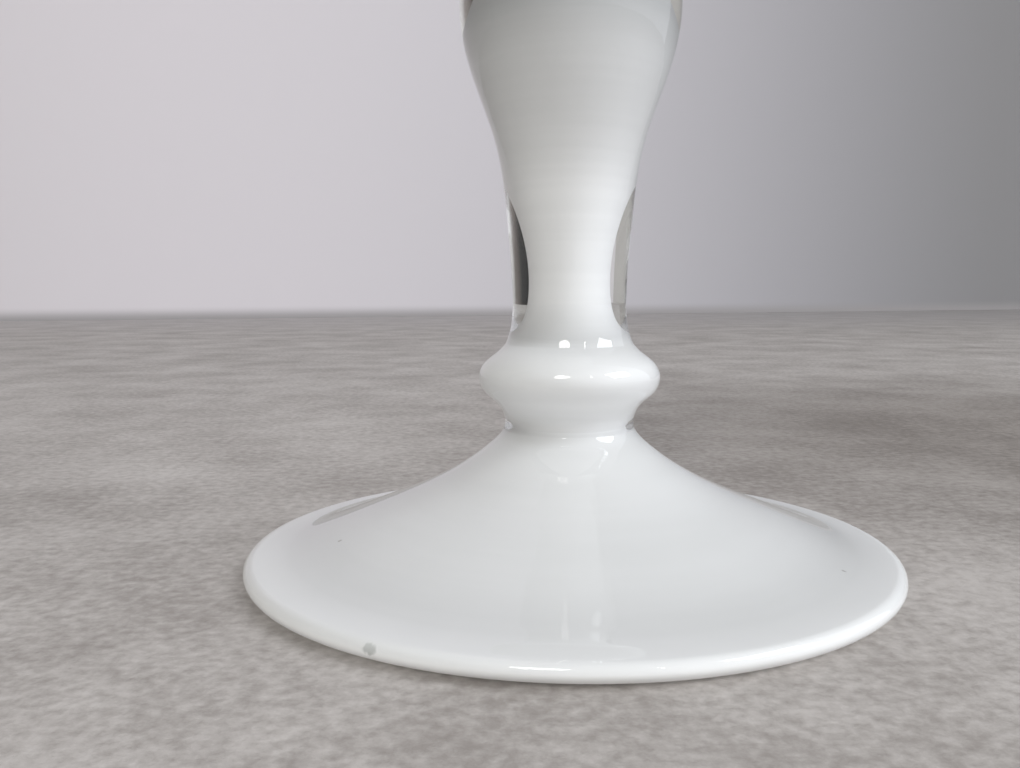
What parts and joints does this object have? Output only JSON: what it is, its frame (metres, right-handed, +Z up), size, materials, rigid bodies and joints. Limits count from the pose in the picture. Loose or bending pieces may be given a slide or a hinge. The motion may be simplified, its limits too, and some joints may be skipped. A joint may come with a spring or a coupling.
{
  "type": "candlestick",
  "caption": "Free-standing cased glass candlestick: wide domed foot, knops and a baluster stem, drip pan and a cup for a standard household candle.",
  "frame": {"origin": "middle of the foot's ground ring, on the table", "axes": "+Z up along the turning axis; the shape is round about Z, so X and Y are any two square directions"},
  "size_m": [0.15, 0.15, 0.223],
  "materials": {
    "opal_glass": "glossy white opal glass",
    "clear_glass": "polished clear glass"
  },
  "bodies": {
    "root": {"foot_opal": "opal_glass", "foot_casing": "clear_glass", "knop_opal": "opal_glass", "knop_casing": "clear_glass", "stem_opal": "opal_glass", "stem_casing": "clear_glass", "upper_knop_opal": "opal_glass", "upper_knop_casing": "clear_glass", "drip_pan_opal": "opal_glass", "drip_pan_casing": "clear_glass", "candle_cup_opal": "opal_glass", "candle_cup_casing": "clear_glass"}
  },
  "joints": []
}
